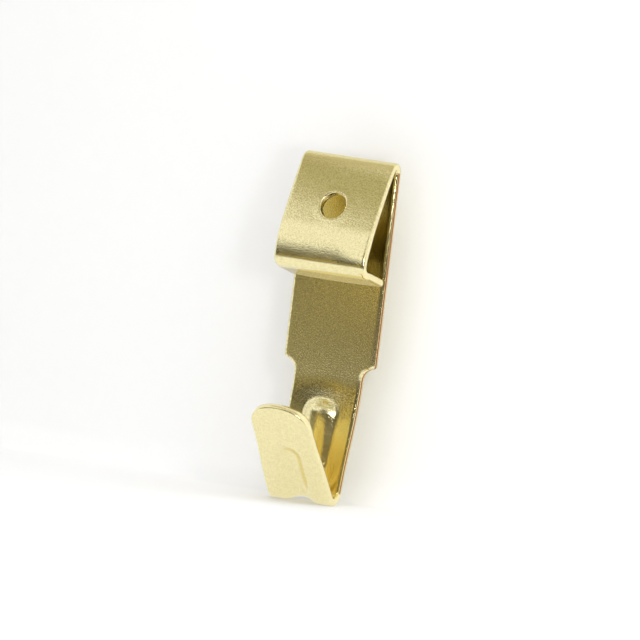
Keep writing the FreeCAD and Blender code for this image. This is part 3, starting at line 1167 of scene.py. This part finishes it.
PLATED_BRASS = BrassFinish(
    name="brass_plate",
    bright=(0.94, 0.85, 0.48),
    dull=(0.60, 0.52, 0.27),
    # Painted shade in the folds, under the return sheet and on the top bend.
    fold_shade_tone=(0.55, 0.45, 0.17),
    # Painted reflection: the gold inside of the hook.
    gold_reflection_tone=(0.86, 0.70, 0.27),
    smooth=0.07,
    rough=0.17,
    grain_size=0.125,
    cloud_size=0.35,
    bump=0.7,
    marks=(
        WearAndShadeSpot((0.35, -2.30, 5.32), 0.42),
        WearAndShadeSpot((-0.80, -2.64, 4.54), 0.34),
        WearAndShadeSpot((-0.35, -2.20, 5.55), 0.26),
        WearAndShadeSpot((-0.95, -0.75, -6.60), 0.16),
    ),
)
SHEARED_BRASS = BrassFinish(
    name="brass_sheared",
    bright=(0.91, 0.82, 0.47),
    dull=(0.80, 0.66, 0.36),
    smooth=0.16,
    rough=0.28,
    grain_size=0.12,
    cloud_size=0.4,
    bump=0.4,
    # Painted shade: dark red-brown along the front arris of the strap's cut edges.
    arris_shade=(0.32, 0.10, 0.035),
    # Painted shade: the hole walls and cut edges round the nail loop turn darker gold.
    marks=(WearAndShadeSpot((0.0, -3.16, 2.2), 6.0, (0.45, 0.36, 0.13)),),
)


@dataclass
class StudioSweep:
    """The pale floor that curves up into a wall close behind the hook."""

    floor_height: float = -25.33
    wall_gap: float = 5.0
    half_width: float = 900.0
    front: float = -1500.0
    top: float = 1200.0
    cove_radius: float = 3.0
    cove_segments: int = 10
    paper: Colour = (0.93, 0.93, 0.925)
    glow: float = 0.03
    mirrored_glow: float = 0.75
    glow_rise: Span = (1.0, 4.0)
    fleck_scale: float = 900.0
    fleck_tone: float = 0.985

    def build(self) -> Piece:
        """Models the sweep.

        Returns:
            The object.
        """
        deselect_all()
        depth = self.wall_gap - self.front
        place = Vector((0.0, (self.wall_gap + self.front) / 2, self.floor_height)) * MM
        bpy.ops.mesh.primitive_plane_add(size=1.0, location=place)
        sweep = bpy.context.object
        sweep.name = "studio_sweep"
        sweep.scale = (2 * self.half_width * MM, depth * MM, 1.0)
        settle(sweep)
        start_edit(sweep, "EDGE")
        self._select_back_edge(sweep)
        bpy.ops.mesh.extrude_region_move(TRANSFORM_OT_translate={"value": (0.0, 0.0, self.top * MM)})
        self._select_back_edge(sweep)
        bpy.ops.mesh.bevel(offset=self.cove_radius * MM, segments=self.cove_segments, affect="EDGES")
        bpy.ops.mesh.select_all(action="SELECT")
        bpy.ops.mesh.normals_make_consistent(inside=False)
        bpy.ops.object.mode_set(mode="OBJECT")
        if sweep.data.polygons[0].normal.z < -0.5 or sweep.data.polygons[0].normal.y > 0.5:
            sweep.data.flip_normals()
        bpy.ops.object.shade_smooth()
        sweep.data.materials.append(self.material())
        return sweep

    def _select_back_edge(self, sweep: Piece) -> None:
        """Selects the edge between the floor and the wall of the sweep, which is in edit mode."""
        mesh = bmesh.from_edit_mesh(sweep.data)
        for edge in mesh.edges:
            low = all(abs(vertex.co.z - self.floor_height * MM) < NEAR for vertex in edge.verts)
            back = all(abs(vertex.co.y - self.wall_gap * MM) < NEAR for vertex in edge.verts)
            edge.select = low and back
        mesh.select_flush_mode()
        bmesh.update_edit_mesh(sweep.data)

    def material(self) -> bpy.types.Material:
        """Makes the paper, which keeps shadows, and can't be seen from behind.

        Returns:
            The material.
        """
        material, sheet = new_material("studio_paper")
        place = sheet.add("ShaderNodeTexCoord").outputs["Object"]
        fleck = sheet.add("ShaderNodeTexNoise", Vector=place, Scale=self.fleck_scale, Detail=2.0)
        darker = tuple(channel * self.fleck_tone for channel in self.paper)
        tone = sheet.blend(fleck.outputs["Fac"], self.paper, darker)
        paper = sheet.add("ShaderNodeBsdfDiffuse", Color=tone)
        light = sheet.add("ShaderNodeEmission", Color=WHITE, Strength=1.0)
        path = sheet.add("ShaderNodeLightPath").outputs
        bent = sheet.math("ADD", path["Is Glossy Ray"], path["Is Transmission Ray"])
        bare = sheet.math("MULTIPLY", path["Is Camera Ray"], self.glow)
        height = sheet.add("ShaderNodeSeparateXYZ", Vector=place).outputs["Z"]
        heights = tuple((self.floor_height + rise) * MM for rise in self.glow_rise)
        low = sheet.spread(height, heights, (self.mirrored_glow, 0.0))
        share = sheet.math("MULTIPLY_ADD", bent, low, bare)
        lit = sheet.mix(share, paper.outputs["BSDF"], light.outputs["Emission"])
        clear = sheet.add("ShaderNodeBsdfTransparent")
        back = sheet.add("ShaderNodeNewGeometry").outputs["Backfacing"]
        sheet.add("ShaderNodeOutputMaterial", Surface=sheet.mix(back, lit, clear.outputs["BSDF"]))
        return material


@dataclass(frozen=True)
class StudioCard:
    """A toned card that stands round the hook, out of the picture, for the metal to mirror.

    Attributes:
        name: Its name.
        tone: Its colour.
        azimuths: Its left and right end.
        elevations: Its lower and upper edge.
        distance: Its distance from the hook.
    """

    SEGMENTS: ClassVar[int] = 96

    name: str
    tone: Colour
    azimuths: Span
    elevations: Span
    distance: float

    def build(self) -> Piece:
        """Models the card.

        Returns:
            The object.
        """
        deselect_all()
        left, right = self.azimuths
        radius = self.distance * MM
        low, high = (radius * math.tan(math.radians(edge)) for edge in self.elevations)
        bpy.ops.mesh.primitive_circle_add(
            vertices=self.SEGMENTS,
            radius=radius,
            fill_type="NOTHING",
            location=CARD_MIDDLE * MM + Vector((0.0, 0.0, low)),
        )
        card = bpy.context.object
        card.name = self.name
        settle(card)
        start_edit(card, "EDGE")
        bpy.ops.mesh.select_all(action="SELECT")
        bpy.ops.mesh.extrude_region_move(TRANSFORM_OT_translate={"value": (0.0, 0.0, high - low)})
        bpy.ops.mesh.select_all(action="DESELECT")
        bpy.ops.mesh.select_mode(type="FACE")
        mesh = bmesh.from_edit_mesh(card.data)
        for face in mesh.faces:
            centre = face.calc_center_median()
            face.select = not left <= math.degrees(math.atan2(centre.x, -centre.y)) <= right
        bmesh.update_edit_mesh(card.data)
        bpy.ops.mesh.delete(type="FACE")
        bpy.ops.object.mode_set(mode="OBJECT")
        self.hide_from_camera(card)
        return card

    def hide_from_camera(self, card: Piece) -> None:
        """Dresses the card, and keeps it out of the picture and out of the lamps' way."""
        material, sheet = new_material(self.name)
        light = sheet.add("ShaderNodeEmission", Color=(*self.tone, 1.0), Strength=1.0)
        sheet.add("ShaderNodeOutputMaterial", Surface=light.outputs["Emission"])
        card.data.materials.append(material)
        card.visible_camera = card.visible_diffuse = card.visible_shadow = False


@dataclass(frozen=True)
class StudioLamp:
    """A soft square lamp that faces the hook."""

    name: str
    azimuth: float
    elevation: float
    distance: float
    size: float
    watts: float
    mirrored: bool = True

    def build(self) -> Piece:
        """Places the lamp, and gives it."""
        data = bpy.data.lights.new(self.name, "AREA")
        data.size = self.size * MM
        data.energy = self.watts
        way = bearing(self.azimuth, self.elevation)
        lamp = hang(data, LAMP_AIM * MM + way * self.distance * MM, way.to_track_quat("Z", "Y"))
        lamp.visible_camera = False
        lamp.visible_glossy = self.mirrored
        return lamp


@dataclass(frozen=True)
class StudioLight:
    """The white surroundings, the cards and the lamps."""

    fill: float = 0.275
    cards: tuple[StudioCard, ...] = (
        StudioCard("left_flag", (0.335, 0.306, 0.195), (-60.0, -27.5), (-11.5, 4.0), 75.0),
        StudioCard("right_flag", (0.19, 0.167, 0.112), (-27.5, 80.0), (-11.5, 4.0), 75.0),
        StudioCard("dark_board", (0.03, 0.026, 0.015), (-60.0, 80.0), (4.0, 13.6), 75.0),
        StudioCard("right_board", (0.14, 0.12, 0.08), (-12.0, 20.0), (16.2, 32.0), 75.0),
        StudioCard("gold_reflector", (1.0, 0.78, 0.22), (-27.0, -10.0), (1.8, 6.8), 60.0),
        StudioCard("middle_scrim", (0.50, 0.465, 0.30), (-70.0, 60.0), (42.6, 54.3), 40.0),
        StudioCard("upper_scrim", (0.76, 0.735, 0.62), (-180.0, 180.0), (48.2, 86.0), 250.0),
    )
    lamps: tuple[StudioLamp, ...] = (
        StudioLamp("front_lamp", 28.0, 12.0, 450.0, 900.0, 2.75, mirrored=False),
        StudioLamp("top_lamp", 20.0, 75.0, 500.0, 500.0, 1.1, mirrored=False),
        StudioLamp("glint_lamp", 40.0, 14.0, 70.0, 8.0, 0.007),
    )

    def build(self) -> None:
        """Sets up the surroundings."""
        self._build_world()
        for card in self.cards:
            card.build()
            LOG.info("card %s", card.name)
        for lamp in self.lamps:
            lamp.build()
            LOG.info("lamp %s", lamp.name)

    def _build_world(self) -> None:
        """Makes the surroundings white, and dimmer where they only light other surfaces."""
        world = bpy.context.scene.world or bpy.data.worlds.new("studio")
        bpy.context.scene.world = world
        world.use_nodes = True
        sheet = NodeSheet(world.node_tree)
        soft, white = (
            sheet.add("ShaderNodeBackground", Color=WHITE, Strength=strength).outputs["Background"]
            for strength in (self.fill, 1.0)
        )
        sheet.add("ShaderNodeOutputWorld", Surface=sheet.mix(sheet.seen_directly(), soft, white))


@dataclass(frozen=True)
class PhotoCamera:
    """The camera, where the picture was taken from."""

    azimuth: float = 28.0
    elevation: float = 3.7
    roll: float = 6.9
    distance: float = 2000.0
    pixels_per_mm: float = 10.79
    aim: tuple[float, float, float] = (-0.546, -2.418, -8.410)
    sensor_width: float = 36.0
    clip: Span = (0.01, 10.0)

    def build(self) -> Piece:
        """Places the camera, makes it the scene's own, and gives it."""
        data = bpy.data.cameras.new("photo_camera")
        data.sensor_width = self.sensor_width
        data.lens = data.sensor_width * self.distance * self.pixels_per_mm / IMAGE_WIDTH
        data.clip_start, data.clip_end = self.clip
        way = bearing(self.azimuth, self.elevation)
        tilt = Quaternion((0.0, 0.0, 1.0), math.radians(self.roll))
        turn = (-way).to_track_quat("-Z", "Y") @ tilt
        camera = hang(data, (Vector(self.aim) + way * self.distance) * MM, turn)
        bpy.context.scene.camera = camera
        return camera


def main() -> None:
    """Builds the hook, the sweep, the light and the camera."""
    logging.basicConfig(level=logging.INFO, format="%(message)s")
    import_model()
    strip = HookStrip()
    piece = strip.build()
    strip.dress(PLATED_BRASS, SHEARED_BRASS)
    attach(piece, "root")
    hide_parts("hook_body")
    LOG.info("hook strip: %d faces", len(piece.data.polygons))
    sweep = StudioSweep().build()
    LOG.info("sweep: %d faces", len(sweep.data.polygons))
    StudioLight().build()
    PhotoCamera().build()
    bpy.context.scene.view_settings.view_transform = "Standard"


if __name__ == "__main__":
    main()
